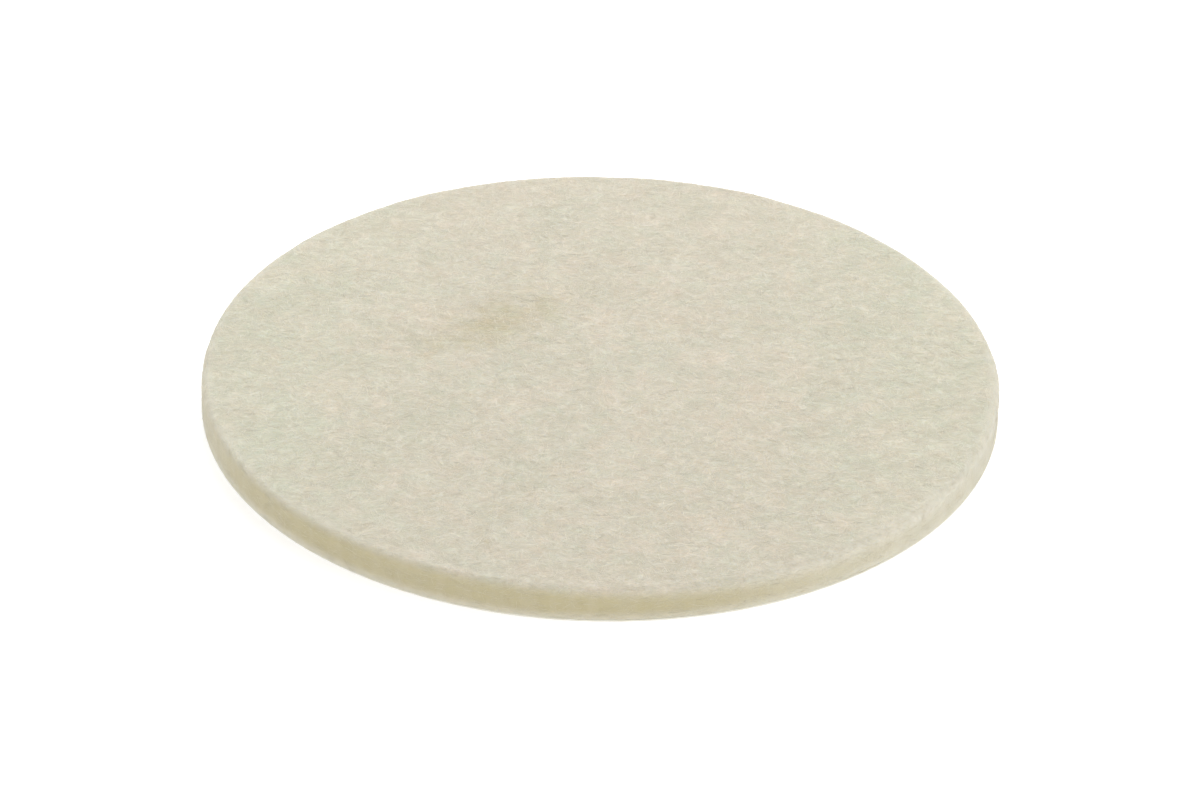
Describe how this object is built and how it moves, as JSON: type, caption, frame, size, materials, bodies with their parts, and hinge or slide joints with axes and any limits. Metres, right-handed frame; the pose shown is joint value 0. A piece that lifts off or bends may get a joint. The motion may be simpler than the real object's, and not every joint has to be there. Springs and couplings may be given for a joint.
{
  "type": "felt polishing wheel",
  "caption": "Flat round pressed-felt polishing wheel with soft edges, a double-coated adhesive back and a peel-off liner.",
  "frame": {"origin": "centre of the release liner's underside, on the surface that the wheel lies on", "axes": "+Z along the wheel's axis, out of the polishing face; X and Y lie in the wheel's plane and are interchangeable"},
  "size_m": [0.1524, 0.1524, 0.0066],
  "materials": {
    "felt": "undyed pressed wool felt, fine matted fibres, matt",
    "adhesive": "tacky, slightly amber",
    "film": "clear polyester film",
    "liner_paper": "off-white paper, silicone-coated and semi-gloss on the side towards the adhesive"
  },
  "bodies": {
    "liner": {"release_liner": "liner_paper"},
    "wheel": {"plate_side_adhesive": "adhesive", "carrier_film": "film", "felt_side_adhesive": "adhesive", "felt_disc": "felt"}
  },
  "joints": [
    {"name": "lift_off", "type": "slide", "parent": "liner", "child": "wheel", "axis": [0, 0, 1], "range_m": [0, 0.03]}
  ]
}
